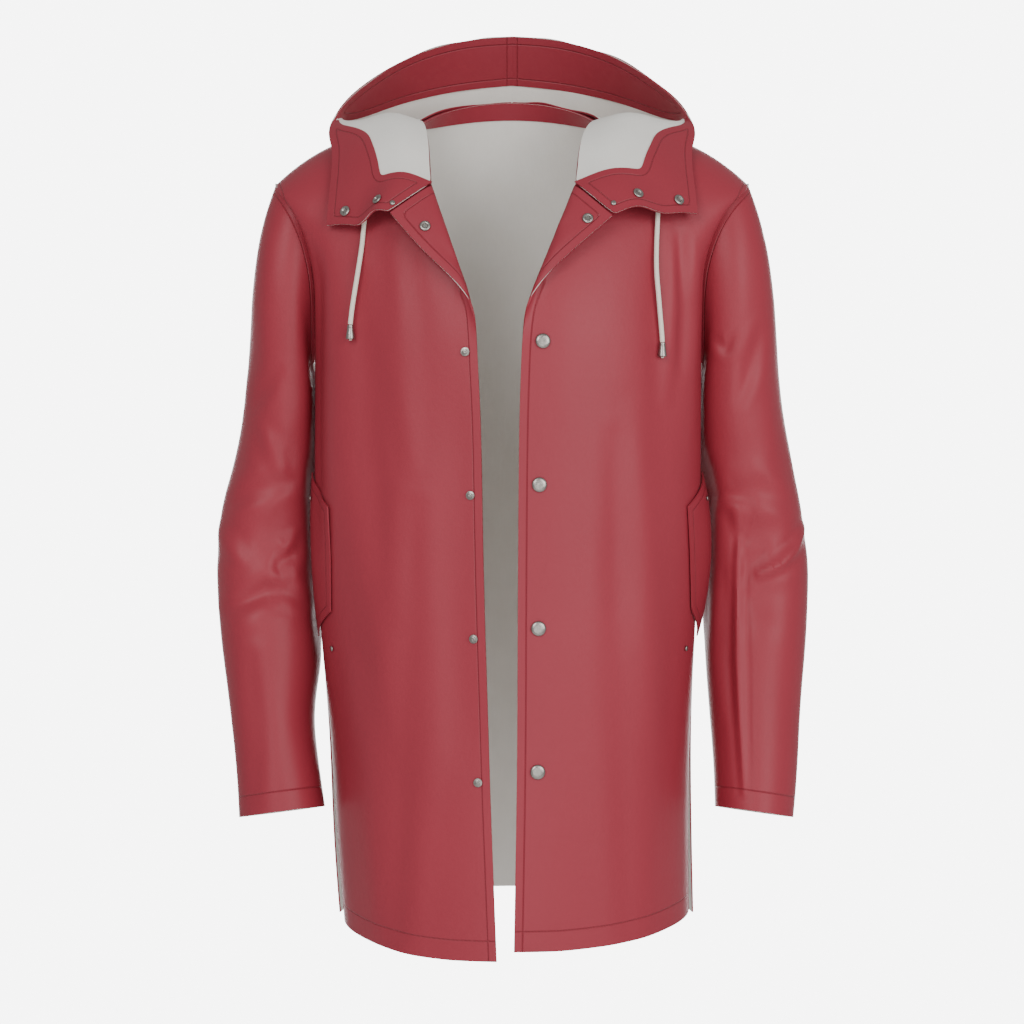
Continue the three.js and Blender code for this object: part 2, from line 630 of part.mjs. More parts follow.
// Turns the faces of a closed mesh outwards.
function facedOut(geometry) {
  const places = geometry.getAttribute('position').array;
  const faces = [];
  const given = geometry.index.array;
  for (let f = 0; f < given.length; f += 3) {
    const [a, b, c] = given.slice(f, f + 3);
    if (a !== b && b !== c && c !== a) faces.push(a, b, c);
  }
  let volume = 0;
  const corner = (k) => new THREE.Vector3().fromArray(places, 3 * k);
  for (let f = 0; f < faces.length; f += 3) {
    volume += corner(faces[f]).dot(corner(faces[f + 1]).cross(corner(faces[f + 2])));
  }
  if (volume < 0) faces.reverse();
  geometry.setIndex(faces);
  return geometry;
}

// A solid of revolution about Z from radii and heights. It ends on the axis, or comes back to its start.
function turned(outline, sectors = 10) {
  const profile = outline.map(([radius, height]) => new THREE.Vector2(radius, height));
  const lathe = new THREE.LatheGeometry(profile, sectors);
  lathe.deleteAttribute('normal');
  lathe.deleteAttribute('uv');
  return facedOut(mergeVertices(lathe.rotateX(Math.PI / 2), 1e-3));
}

const capOutline = [[0, 0], [7.3, 0], [7.6, 0.7], [6.5, 1.9], [3.6, 2.7], [0, 2.9]];
const studOutline = [[0, 0], [4.6, 0], [4.6, 0.7], [2.4, 1.1], [2.3, 2.9], [1.4, 3.4], [0, 3.4]];
const socketOutline = [[2.2, 0], [5.4, 0], [5.6, 0.9], [4.4, 1.7], [2.8, 1.5], [2.2, 0]];
const eyeletOutline = [[2.8, 0], [5.2, 0], [5.2, 0.7], [4, 1.1], [2.8, 0.7], [2.8, 0]];
const rivetOutline = [[0, 0], [2.9, 0], [2.6, 1], [0, 1.5]];
const endOutline = [
  [0, 0], [3.1, 0], [3.4, -6], [4.5, -13], [4.6, -15], [3.7, -15], [3.3, -13.6], [0, -13.6],
];

// A turned solid seated on a surface: lift is how high its foot stands over it, along the normal.
function seated(geometry, point, u, v, turn, lift) {
  const step = 0.02;
  const across = point(u + step, v).sub(point(u - step, v));
  const up = point(u, v + step).sub(point(u, v - step));
  const normal = across.cross(up).normalize().multiplyScalar(turn);
  const place = point(u, v).addScaledVector(normal, lift);
  const facing = lift < 0 ? normal.negate() : normal;
  geometry.applyQuaternion(new THREE.Quaternion().setFromUnitVectors(new THREE.Vector3(0, 0, 1), facing));
  return geometry.translate(place.x, place.y, place.z);
}

// A round bar along a smooth line.
function bar(points, radius, steps, sectors = 8) {
  const curve = new THREE.CatmullRomCurve3(points);
  const frames = curve.computeFrenetFrames(steps);
  const places = [];
  for (let k = 0; k <= steps; k++) {
    const middle = curve.getPointAt(k / steps);
    for (let m = 0; m < sectors; m++) {
      const a = m / sectors * 2 * Math.PI;
      const p = middle.clone()
        .addScaledVector(frames.normals[k], radius * Math.cos(a))
        .addScaledVector(frames.binormals[k], radius * Math.sin(a));
      places.push(p.x, p.y, p.z);
    }
  }
  const faces = [];
  for (let k = 0; k < steps; k++) {
    for (let m = 0; m < sectors; m++) {
      const a = k * sectors + m;
      const b = k * sectors + (m + 1) % sectors;
      faces.push(a, b, b + sectors, a, b + sectors, a + sectors);
    }
  }
  const far = steps * sectors;
  for (let m = 1; m < sectors - 1; m++) {
    faces.push(0, m + 1, m);
    faces.push(far, far + m, far + m + 1);
  }
  const geometry = new THREE.BufferGeometry();
  geometry.setAttribute('position', new THREE.Float32BufferAttribute(places, 3));
  geometry.setIndex(faces);
  return facedOut(geometry);
}

const facingGap = 0.35;
const facingCloth = 0.9;
const facingLayer = { outer: cloth + facingGap, inner: cloth + facingGap + facingCloth };
const underFacing = -(cloth + facingGap + facingCloth + seam);

// The pocket flap is sewn along its front edge (u 0) and free along the side (u 1).
const flapColumns = 5;
const flapRows = 8;
const flapBackAngle = 88;
const flapSlant = { top: 34, bottom: 30 };  // how much its front corners are cut back
const flapGap = 1.05;

function flapPoint(side, u, v) {
  const angle = lerp(lerp(side.flapFrom[1], side.flapFrom[0], v), flapBackAngle, u);
  const lower = lerp(flapBottomZ + flapSlant.bottom, flapBottomZ, u);
  const upper = lerp(flapTopZ - flapSlant.top, flapTopZ, u);
  const p = lowFront(side, angle, lerp(lower, upper, v));
  const sag = Math.max(0, u) ** 1.6 * Math.max(0, Math.sin(Math.PI * v)) ** 0.8;
  const lift = cloth + flapGap + side.flapLift * sag;
  p.x += lift * Math.sin(rad(angle));
  p.y -= lift * Math.cos(rad(angle));
  p.x *= side.sign;
  return p;
}

const chart = (side) => (x, z) => {
  const p = rolledFront(side, x, z);
  p.x *= side.sign;
  return p;
};

function addPanels() {
  add('back', wall(backPoint, 2 * backHalfColumns, frontRows, { turn: -1, bend: bendBack }));
  const neckStrip = (i, j) => j === frontRows - 1 && Math.abs(i + 0.5 - backHalfColumns) < neckColumns;
  add('neck_tape_back', wall(backPoint, 2 * backHalfColumns, frontRows,
    { turn: -1, has: neckStrip, bend: bendBack, ...facingLayer }));
  for (const side of sides) {
    const { name, sign: turn } = side;
    const front = (i, j) => frontPoint(side, i, j);
    add('front_' + name, wall(front, frontColumns, frontRows, { has: isFront, turn, bend: bendFront }));
    add('front_facing_' + name, wall(front, frontColumns, frontRows,
      { has: (i, j) => i < edgeColumns && j < rollRow, turn, ...facingLayer }));
    add('neck_tape_' + name, wall(front, frontColumns, frontRows,
      { has: (i, j) => i === edgeColumns && j >= rollRow, turn, bend: bendFront, ...facingLayer }));
    add('sleeve_' + name, wall((i, j) => sleevePoint(side, i, j), loopPoints, capRows + armRows,
      { around: true, turn, bend: bendSleeve(side) }));
    add('hood_' + name, wall(hoodAt(side), hoodColumns, hoodRows, { turn }));
    add('hood_facing_' + name, wall(hoodAt(side), hoodColumns, hoodRows,
      { has: (i, j) => i < chinColumns || j >= bagRows, turn, ...facingLayer }));
    const flap = (i, j) => flapPoint(side, i / flapColumns, j / flapRows);
    add('pocket_flap_' + name, wall(flap, flapColumns, flapRows, { turn }));
  }
}

// Places of the hood's snaps, eyelet and rivet: along the neckline and out to the rim.
const hoodTrim = [
  { name: 'hood_snap', tail: '_1', s: 0.045, t: 0.30, outline: socketOutline, lift: underFacing },
  { name: 'hood_snap', tail: '_2', s: 0.045, t: 0.78, outline: socketOutline, lift: underFacing },
  { name: 'neck_rivet', tail: '', s: 0.03, t: 0.07, outline: rivetOutline, lift: underFacing },
  { name: 'cord_eyelet', tail: '', s: 0.07, t: 0.52, outline: eyeletOutline, lift: seam },
];
const eyelet = hoodTrim[3];
const flapRivet = { u: 0.8, v: 0.875, lift: 0.4 };

// Places of the trim on the fronts, as a distance from the middle and a height.
rightSide.trim = [
  { name: 'lapel_snap', x: 42, z: -103, outline: socketOutline, lift: underFacing },
  { name: 'vent_rivet', x: 188, z: -549, outline: rivetOutline, lift: seam },
];
leftSide.trim = [
  { name: 'lapel_snap', x: 21, z: -90, outline: socketOutline, lift: underFacing },
  { name: 'vent_rivet', x: 182, z: -549, outline: rivetOutline, lift: seam },
];

// Where the drawstring hangs over the front, as a distance from the middle and a height.
const cordRadius = 2.5;
const cordLift = 7.6;
const cordSteps = 18;
const cordExit = new THREE.Vector3(0, 5.5, -3);  // from the eyelet, behind the hood
const cordTail = new THREE.Vector3(0, 0, -2);
const snapCount = 4;
const leftSnap = { name: 'snap_cap_', outline: capOutline };
const rightSnap = { name: 'snap_stud_', outline: studOutline };
rightSide.cordLine = [[154, -128], [157, -155], [161, -185], [164, -210]];
leftSide.cordLine = [[150, -122], [151, -155], [155, -195], [158, -228]];

function addTrim() {
  for (const side of sides) {
    const { name, sign: turn } = side;
    const onFront = chart(side);
    const onHood = (u, v) => hoodPoint(side, u, v);
    const snap = side.sign > 0 ? leftSnap : rightSnap;
    for (let k = 0; k < snapCount; k++) {
      const z = side.firstSnapZ - k * snapSpacing;
      const x = edgeX(side, z) + side.snapInset;
      add(snap.name + (k + 1), seated(turned(snap.outline), onFront, x, z, turn, seam), shades.metal);
    }
    for (const t of side.trim) {
      add(t.name + '_' + name, seated(turned(t.outline), onFront, t.x, t.z, turn, t.lift), shades.metal);
    }
    for (const t of hoodTrim) {
      const trim = seated(turned(t.outline), onHood, t.s, t.t, turn, t.lift);
      add(t.name + '_' + name + t.tail, trim, shades.metal);
    }
    const onFlap = (u, v) => flapPoint(side, u, v);
    const rivet = seated(turned(rivetOutline), onFlap, flapRivet.u, flapRivet.v, turn, flapRivet.lift);
    add('pocket_rivet_' + name, rivet, shades.metal);

    const exit = onHood(eyelet.s, eyelet.t).add(cordExit);
    const line = side.cordLine.map(([x, z]) => onFront(x, z).add(new THREE.Vector3(0, -cordLift, 0)));
    line[0].y = lerp(line[0].y, exit.y, 0.5);
    const end = line[line.length - 1];
    line.push(end.clone().add(cordTail));
    add('drawstring_' + name, bar([exit, ...line], cordRadius, cordSteps), shades.cotton);
    const low = line[line.length - 1];
    add('cord_end_' + name, turned(endOutline).translate(low.x, low.y, low.z - seam), shades.metal);
  }
}

addPanels();
addTrim();

export default group;
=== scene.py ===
import math

import bpy
import numpy as np
from mathutils import Matrix, Vector
from mathutils.kdtree import KDTree


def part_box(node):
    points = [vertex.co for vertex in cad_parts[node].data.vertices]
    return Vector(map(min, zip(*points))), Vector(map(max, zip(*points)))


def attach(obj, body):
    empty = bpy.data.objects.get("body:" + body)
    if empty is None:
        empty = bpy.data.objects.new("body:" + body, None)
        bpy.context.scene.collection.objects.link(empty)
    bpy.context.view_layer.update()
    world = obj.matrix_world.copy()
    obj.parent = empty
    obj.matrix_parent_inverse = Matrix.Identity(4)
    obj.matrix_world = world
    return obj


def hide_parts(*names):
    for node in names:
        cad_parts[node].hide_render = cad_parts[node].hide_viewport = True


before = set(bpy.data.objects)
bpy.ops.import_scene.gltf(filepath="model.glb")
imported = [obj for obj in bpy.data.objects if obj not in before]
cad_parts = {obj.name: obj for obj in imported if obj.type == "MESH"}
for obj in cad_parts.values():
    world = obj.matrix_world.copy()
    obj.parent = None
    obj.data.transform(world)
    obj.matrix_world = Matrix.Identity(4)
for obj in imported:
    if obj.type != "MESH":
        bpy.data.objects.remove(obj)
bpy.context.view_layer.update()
mm = 0.001
print("frame loaded")

# Camera, first

view = {"place": (0.0, -3.1, -0.3), "target": (0.0, 0.0, -0.409), "lens": 101.9, "sensor": 36}

bpy.ops.object.camera_add(location=view["place"])
camera = bpy.context.object
camera.name = "camera"
camera.data.lens = view["lens"]
camera.data.sensor_width = view["sensor"]
aim = Vector(view["target"]) - Vector(view["place"])
camera.rotation_euler = aim.to_track_quat("-Z", "Y").to_euler()
bpy.context.scene.camera = camera


# Small helpers


def pickOnly(piece):
    bpy.ops.object.select_all(action="DESELECT")
    piece.select_set(True)
    bpy.context.view_layer.objects.active = piece


def editing(piece, kind="FACE"):
    pickOnly(piece)
    bpy.ops.object.mode_set(mode="EDIT")
    bpy.ops.mesh.select_mode(type=kind)


def done():
    bpy.ops.object.mode_set(mode="OBJECT")


def pointsOf(piece):
    flat = np.zeros(len(piece.data.vertices) * 3)
    piece.data.vertices.foreach_get("co", flat)
    return flat.reshape(-1, 3)


def setPoints(piece, points):
    piece.data.vertices.foreach_set("co", points.ravel())
    piece.data.update()


def smoothstep(low, high, value):
    t = np.clip((value - low) / (high - low), 0, 1)
    return t * t * (3 - 2 * t)


def sameSeed(value):  # a fixed scatter from a number, between 0 and 1
    return abs(math.sin(value * 12.9898) * 43758.5453) % 1


# Shaders


class Value:
    def __init__(self, socket, tree):
        self.socket = socket
        self.tree = tree

    def math(self, operation, other=None, flipped=False):
        node = self.tree.nodes.new("ShaderNodeMath")
        node.operation = operation
        ends = [self, other] if not flipped else [other, self]
        for spot, end in zip(node.inputs, ends):
            if isinstance(end, Value):
                self.tree.links.new(end.socket, spot)
            elif end is not None:
                spot.default_value = end
        return Value(node.outputs[0], self.tree)

    def __add__(self, other):
        return self.math("ADD", other)

    def __sub__(self, other):
        return self.math("SUBTRACT", other)

    def __rsub__(self, other):
        return self.math("SUBTRACT", other, True)

    def __mul__(self, other):
        return self.math("MULTIPLY", other)

    def __truediv__(self, other):
        return self.math("DIVIDE", other)

    def below(self, other):
        return self.math("LESS_THAN", other)

    def sine(self):
        return self.math("SINE")

    def size(self):
        return self.math("ABSOLUTE")

    def least(self, other):
        return self.math("MINIMUM", other)

    def most(self, other):
        return self.math("MAXIMUM", other)


class Paint:
    def __init__(self, name):
        self.material = bpy.data.materials.new(name)
        self.material.use_nodes = True
        self.tree = self.material.node_tree
        self.shader = self.tree.nodes["Principled BSDF"]

    def node(self, kind, settings=None, inputs=None, output=0):
        made = self.tree.nodes.new(kind)
        for name, value in (settings or {}).items():
            setattr(made, name, value)
        for name, value in (inputs or {}).items():
            if isinstance(value, Value):
                self.tree.links.new(value.socket, made.inputs[name])
            else:
                made.inputs[name].default_value = value
        return Value(made.outputs[output], self.tree)

    def place(self):
        return self.node("ShaderNodeTexCoord", output=3)

    def stretched(self, scale):
        return self.node("ShaderNodeMapping", None, {"Vector": self.place(), "Scale": scale})

    def noise(self, vector, scale, detail=2.0, rough=0.5):
        inputs = {"Vector": vector, "Scale": scale, "Detail": detail, "Roughness": rough}
        return self.node("ShaderNodeTexNoise", None, inputs)

    def axes(self, vector):
        parts = self.tree.nodes.new("ShaderNodeSeparateXYZ")
        self.tree.links.new(vector.socket, parts.inputs[0])
        return [Value(out, self.tree) for out in parts.outputs]

    def attribute(self, name):
        return self.node("ShaderNodeAttribute", {"attribute_name": name}, output=2)

    def blend(self, factor, first, second):
        return self.node("ShaderNodeMix", {"data_type": "RGBA"}, {0: factor, 6: first, 7: second}, output=2)

    def band(self, value, middle, half):  # 1 at the middle of a line, 0 past its edges
        return (1 - (value - middle).size() / half).most(0.0)

    def bump(self, height, distance):
        inputs = {"Height": height, "Distance": distance, "Strength": 1.0}
        return self.node("ShaderNodeBump", None, inputs)

    def finish(self, links, fixed):
        for name, value in fixed.items():
            self.shader.inputs[name].default_value = value
        for name, value in links.items():
            self.tree.links.new(value.socket, self.shader.inputs[name])
        return self.material


coated = {
    "deep": (0.262, 0.024, 0.038, 1),
    "plain": (0.335, 0.034, 0.052, 1),
    "stitch": (0.190, 0.020, 0.026, 1),
    "rough": 0.46,
    "specular": 0.30,
    "hemAt": 21 * mm,  # where the stitch lines run, from the hem, the edges and the seams
    "edgeAt": 8.5 * mm,
    "seamAt": 5.5 * mm,
    "stitchHalf": 1.0 * mm,
    "hemStitchHalf": 1.1 * mm,
    "stitchLong": 3.6 * mm,
    "cloudScale": 5.0,
    "wrinkleScale": 34.0,
    "pebbleScale": 240.0,
    "fineScale": 900.0,
    "relief": 0.45 * mm,
}


def coatedPaint(name, tint=1.0):
    paint = Paint(name)
    place = paint.place()
    x, y, z = paint.axes(place)
    cloudy = paint.noise(place, coated["cloudScale"], 3.0)
    fine = paint.noise(place, coated["fineScale"], 1.0)
    pebble = paint.noise(place, coated["pebbleScale"], 2.0, 0.6)
    wrinkle = paint.noise(paint.stretched((1, 1, 0.45)), coated["wrinkleScale"], 2.5, 0.55)
    hem = paint.attribute("hemAway")
    edge = paint.attribute("edgeAway")
    seam = paint.attribute("seamAway")
    along = ((x + z * 1.13 + y * 0.7) * (2 * math.pi / coated["stitchLong"])).sine()
    dashes = (along * 0.5 + 0.5).most(0.25)
    hemLine = paint.band(hem, coated["hemAt"], coated["hemStitchHalf"])
    edgeLine = paint.band(edge, coated["edgeAt"], coated["stitchHalf"])
    seamLine = paint.band(seam, coated["seamAt"], coated["stitchHalf"])
    lines = hemLine.most(edgeLine).most(seamLine)
    fold = hem.below(coated["hemAt"]) * 0.5  # the cloth is double at the hem and the edges
    welt = edge.below(coated["edgeAt"]) * 0.35
    plain, deep = [tuple(c * tint for c in coated[shade][:3]) + (1,) for shade in ("plain", "deep")]
    colour = paint.blend(cloudy * 0.7, plain, deep)
    colour = paint.blend(lines * dashes * 0.75, colour, coated["stitch"])
    relief = pebble * 0.25 + fine * 0.10 + wrinkle * 1.2 + fold + welt - lines * 1.6
    rough = cloudy * 0.10 + pebble * 0.06 + (coated["rough"] - 0.08)
    return paint.finish(
        {"Base Color": colour, "Roughness": rough, "Normal": paint.bump(relief, coated["relief"])},
        {"Specular IOR Level": coated["specular"], "Sheen Weight": 0.0},
    )


cotton = {
    "light": (0.92, 0.895, 0.845, 1),
    "grey": (0.80, 0.77, 0.71, 1),
    "rough": 0.88,
    "softScale": 26.0,
    "slubScale": 420.0,
    "thread": 1.1 * mm,
    "relief": 0.35 * mm,
}


def cottonPaint():
    paint = Paint("cottonBacking")
    place = paint.place()
    x, y, z = paint.axes(place)
    turn = 2 * math.pi / cotton["thread"]
    twill = ((x + y + z) * turn).sine() * ((x + y - z) * turn * 0.5).sine()
    soft = paint.noise(place, cotton["softScale"], 3.0)
    slub = paint.noise(paint.stretched((1, 1, 0.15)), cotton["slubScale"], 2.0)
    colour = paint.blend(soft * 0.6 + slub * 0.3, cotton["light"], cotton["grey"])
    rough = slub * 0.08 + (cotton["rough"] - 0.04)
    relief = twill * 0.25 + slub * 0.5 + soft * 2.2
    return paint.finish(
        {"Base Color": colour, "Roughness": rough, "Normal": paint.bump(relief, cotton["relief"])},
        {"Sheen Weight": 0.15, "Sheen Roughness": 0.6},
    )


nickel = {
    "bright": (0.41, 0.39, 0.36, 1),
    "dull": (0.22, 0.205, 0.185, 1),
    "rough": 0.27,
    "scuffScale": 700.0,
    "brushScale": 1600.0,
    "relief": 0.03 * mm,
}


def nickelPaint():
    paint = Paint("nickelPlate")
    place = paint.place()
    scuff = paint.noise(place, nickel["scuffScale"], 3.0, 0.65)
    brushed = paint.noise(paint.stretched((1, 1, 6)), nickel["brushScale"], 1.0)
    colour = paint.blend(scuff * 0.8, nickel["bright"], nickel["dull"])
    rough = scuff * 0.22 + brushed * 0.06 + (nickel["rough"] - 0.1)
    return paint.finish(
        {"Base Color": colour, "Roughness": rough, "Normal": paint.bump(brushed + scuff, nickel["relief"])},
        {"Metallic": 1.0},
    )


cordFinish = {
    "light": (0.92, 0.85, 0.74, 1),
    # the painted shade laid into the grooves between the strands
    "grooveShade": (0.64, 0.53, 0.42, 1),
    "rough": 0.85,
    "fibreScale": 2600.0,
    "relief": 0.2 * mm,
}


def cordPaint():
    paint = Paint("braidedCotton")
    groove = paint.attribute("groove")
    fibre = paint.noise(paint.stretched((1, 1, 0.4)), cordFinish["fibreScale"], 2.0)
    # The grooves between the braid's strands are painted darker, as painted shade.
    colour = paint.blend(groove * 0.8 + fibre * 0.15, cordFinish["light"], cordFinish["grooveShade"])
    rough = fibre * 0.1 + (cordFinish["rough"] - 0.05)
    return paint.finish(
        {"Base Color": colour, "Roughness": rough, "Normal": paint.bump(fibre, cordFinish["relief"])},
        {"Sheen Weight": 0.25, "Sheen Roughness": 0.5},
    )


paints = {
    "coated": coatedPaint("coatedCotton"),
    "facing": coatedPaint("coatedFacing", 0.94),
    "cotton": cottonPaint(),
    "nickel": nickelPaint(),
    "cord": cordPaint(),
}
print("paints mixed")

cordPieces = {}
trimPieces = {}


# Cords: a braided tube along each route, with its tuft below the metal end

cord = {
    "radius": 2.5 * mm,
    "around": 28,
    "steps": 450,
    "passes": 3,
    "softening": 40,  # each pass rounds the route over one part in this many
    "pathSteps": 30,
    "turnLength": 7.5 * mm,
    "strands": 5,
    "relief": 0.192,  # depth of the grooves, as a share of the radius
}

tufts = {
    "hairs": 9,
    "sides": 6,
    "radii": (0.4 * mm, 0.9 * mm),
    "long": 4.2 * mm,
    "spread": (0.5 * mm, 1.3 * mm),
    "turn": 2.4,  # from one hair to the next
    "lean": 0.35,
    "rise": 1.2 * mm,
}

creases = {"cord": math.radians(60), "metal": math.radians(38), "cloth": math.radians(50)}
welds = {"cord": 0.02 * mm, "cloth": 0.03 * mm}

cordRoutes = {  # points along the routes of the drawstrings in part.mjs, in metres
    "right": [
        (-0.1510, -0.1044, -0.0916), (-0.1523, -0.1059, -0.1068), (-0.1536, -0.1077, -0.1221),
        (-0.1543, -0.1092, -0.1296), (-0.1552, -0.1114, -0.1369), (-0.1562, -0.1140, -0.1441),
        (-0.1572, -0.1163, -0.1513), (-0.1583, -0.1177, -0.1588), (-0.1595, -0.1186, -0.1664),
        (-0.1620, -0.1193, -0.1815), (-0.1643, -0.1198, -0.1967), (-0.1660, -0.1199, -0.2120),
    ],
    "left": [
        (0.1512, -0.1044, -0.0806), (0.1502, -0.1055, -0.0994), (0.1493, -0.1069, -0.1181),
        (0.1489, -0.1083, -0.1274), (0.1486, -0.1104, -0.1366), (0.1484, -0.1125, -0.1458),
        (0.1485, -0.1141, -0.1550), (0.1490, -0.1150, -0.1644), (0.1507, -0.1157, -0.1831),
        (0.1523, -0.1159, -0.2019), (0.1540, -0.1156, -0.2206), (0.1546, -0.1154, -0.2300),
    ],
}


def evenRoute(points, count):
    points = np.array(points)
    t = np.concatenate([[0], np.cumsum(np.linalg.norm(np.diff(points, axis=0), axis=1))])
    for _ in range(cord["passes"]):  # rounds the corners of the route
        dense = np.linspace(0, t[-1], count)
        path = np.stack([np.interp(dense, t, points[:, k]) for k in range(3)], 1)
        soft = path.copy()
        reach = max(2, count // cord["softening"])
        for k in range(1, count - 1):
            near = min(reach, k, count - 1 - k)
            soft[k] = path[k - near : k + near + 1].mean(0)
        points = soft
        t = np.concatenate([[0], np.cumsum(np.linalg.norm(np.diff(points, axis=0), axis=1))])
    return points, t[-1]


def makeCord(name):
    steps = cord["steps"]
    path, length = evenRoute(cordRoutes[name], steps + 1)
    bpy.ops.mesh.primitive_grid_add(x_subdivisions=cord["around"], y_subdivisions=steps, size=2)
    piece = bpy.context.object
    piece.name = "braid_" + name
    flat = pointsOf(piece)
    u = (flat[:, 0] + 1) * math.pi
    along = (flat[:, 1] + 1) / 2 * steps
    row = np.clip(np.round(along).astype(int), 0, steps)
    tangent = np.gradient(path, axis=0)
    tangent /= np.linalg.norm(tangent, axis=1)[:, None]
    sideways = np.cross(tangent, (0, 1, 0))
    sideways /= np.linalg.norm(sideways, axis=1)[:, None]
    forward = np.cross(sideways, tangent)
    travel = row / steps * length
    twist = 2 * math.pi * travel / cord["turnLength"]
    half = cord["strands"] / 2
    braid = np.maximum(np.abs(np.sin(half * (u + twist))), np.abs(np.sin(half * (u - twist))))
    radius = cord["radius"] * (1 - cord["relief"] * (1 - braid))
    ring = np.cos(u)[:, None] * sideways[row] + np.sin(u)[:, None] * forward[row]
    setPoints(piece, path[row] + ring * radius[:, None])
    # How deep each point lies in a groove; the cord's paint darkens the grooves with it, as painted shade.
    layer = piece.data.attributes.new("groove", "FLOAT", "POINT")
    layer.data.foreach_set("value", 1 - braid)
    editing(piece, "EDGE")
    bpy.ops.mesh.select_all(action="SELECT")
    bpy.ops.mesh.remove_doubles(threshold=welds["cord"])
    bpy.ops.mesh.select_all(action="DESELECT")
    bpy.ops.mesh.select_non_manifold()
    bpy.ops.mesh.edge_face_add()
    bpy.ops.mesh.select_all(action="SELECT")
    bpy.ops.mesh.normals_make_consistent(inside=False)
    done()
    bpy.ops.object.shade_smooth_by_angle(angle=creases["cord"])
    piece.data.materials.append(paints["cord"])
    return piece, [tuple(p) for p in path[:: steps // cord["pathSteps"]]] + [tuple(path[-1])], length


def makeTuft(name, foot):
    hairs = []
    thin, thick = tufts["radii"]
    near, more = tufts["spread"]
    for k in range(tufts["hairs"]):
        lean = tufts["lean"] * (sameSeed(k + 1.7) - 0.5)
        bpy.ops.mesh.primitive_cone_add(
            vertices=tufts["sides"], radius1=thin, radius2=thick, depth=tufts["long"]
        )
        hair = bpy.context.object
        angle = k * tufts["turn"]
        spread = near + more * sameSeed(k * 3.1)
        aside = Vector((math.cos(angle) * spread, math.sin(angle) * spread, 0))
        tilt = Matrix.Rotation(lean, 4, "X") @ Matrix.Rotation(lean * math.sin(angle * 2), 4, "Y")
        hair.matrix_world = Matrix.Translation(Vector(foot) + aside) @ tilt
        hairs.append(hair)
    bpy.ops.object.select_all(action="DESELECT")
    for hair in hairs:
        hair.select_set(True)
    bpy.context.view_layer.objects.active = hairs[0]
    bpy.ops.object.join()
    bpy.ops.object.transform_apply(location=True, rotation=True, scale=True)
    tuft = bpy.context.object
    tuft.name = "tuft_" + name
    tuft.data.materials.append(paints["cord"])
    return tuft


for name in ("right", "left"):
    braid, path, length = makeCord(name)
    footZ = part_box("cord_end_" + name)[0][2] + tufts["rise"]
    tuft = makeTuft(name, (path[-1][0], path[-1][1], footZ))
    cordPieces[name] = (braid, tuft, path, length)
print("cords braided")

# Metal trim: turned on a lathe of rings, each seated where its solid is

trimOutlines = {  # shares of the solid's radius and height, from the foot up
    "snap_cap": [
        (0.955, 0.0), (0.99, 0.12), (1.0, 0.26), (0.985, 0.40), (0.94, 0.56), (0.86, 0.70),
        (0.74, 0.82), (0.58, 0.905), (0.40, 0.945), (0.22, 0.93), (0.05, 0.92),
    ],
    "snap_stud": [
        (0.97, 0.0), (1.0, 0.07), (1.0, 0.16), (0.96, 0.22), (0.70, 0.25), (0.54, 0.31),
        (0.48, 0.42), (0.46, 0.66), (0.52, 0.80), (0.50, 0.92), (0.40, 0.985), (0.24, 0.99),
        (0.20, 0.90), (0.06, 0.86),
    ],
    "socket": [
        (0.95, 0.0), (1.0, 0.20), (0.99, 0.52), (0.92, 0.74), (0.80, 0.93), (0.66, 0.985),
        (0.54, 0.90), (0.46, 0.62), (0.41, 0.30), (0.36, 0.10), (0.05, 0.08),
    ],
    "eyelet": [
        (0.96, 0.0), (1.0, 0.22), (0.97, 0.56), (0.88, 0.88), (0.77, 1.0), (0.66, 0.92),
        (0.58, 0.66), (0.55, 0.20), (0.55, 0.0),
    ],
    "rivet": [
        (0.96, 0.0), (1.0, 0.12), (0.97, 0.36), (0.86, 0.62), (0.66, 0.84), (0.42, 0.96),
        (0.08, 1.0),
    ],
    "cord_end": [
        (0.62, 0.0), (0.74, 0.02), (0.95, 0.03), (1.0, 0.07), (0.985, 0.14), (0.93, 0.30),
        (0.84, 0.46), (0.76, 0.60), (0.72, 0.70), (0.70, 0.78), (0.735, 0.80), (0.735, 0.83),
        (0.69, 0.85), (0.68, 0.93), (0.665, 0.98), (0.60, 1.0), (0.30, 1.0),
    ],
}
trimKinds = {  # how a node's name starts, and the outline that it takes
    "snap_cap_": "snap_cap",
    "snap_stud_": "snap_stud",
    "lapel_snap_": "socket",
    "hood_snap_": "socket",
    "vent_rivet_": "rivet",
    "neck_rivet_": "rivet",
    "pocket_rivet_": "rivet",
    "cord_eyelet_": "eyelet",
    "cord_end_": "cord_end",
}
trimSectors = 40


def turnedPiece(name, outline, closed):  # a model with a radius and a height of one
    fill = "NGON" if closed else "NOTHING"
    bpy.ops.mesh.primitive_circle_add(vertices=trimSectors, radius=outline[0][0], fill_type=fill)
    piece = bpy.context.object
    piece.name = name
    editing(piece, "VERT")
    bpy.ops.mesh.select_all(action="SELECT")
    extrude = bpy.ops.mesh.extrude_region_move if closed else bpy.ops.mesh.extrude_edges_move
    for (radius, height), (nextRadius, nextHeight) in zip(outline, outline[1:]):
        extrude(TRANSFORM_OT_translate={"value": (0, 0, nextHeight - height)})
        grow = nextRadius / radius
        bpy.ops.transform.resize(value=(grow, grow, 1), center_override=(0, 0, nextHeight))
    bpy.ops.mesh.select_all(action="SELECT")
    if not closed:
        bpy.ops.mesh.bridge_edge_loops()
    bpy.ops.mesh.normals_make_consistent(inside=False)
    done()
    bpy.ops.object.shade_smooth_by_angle(angle=creases["metal"])
    piece.data.materials.append(paints["nickel"])
    return piece


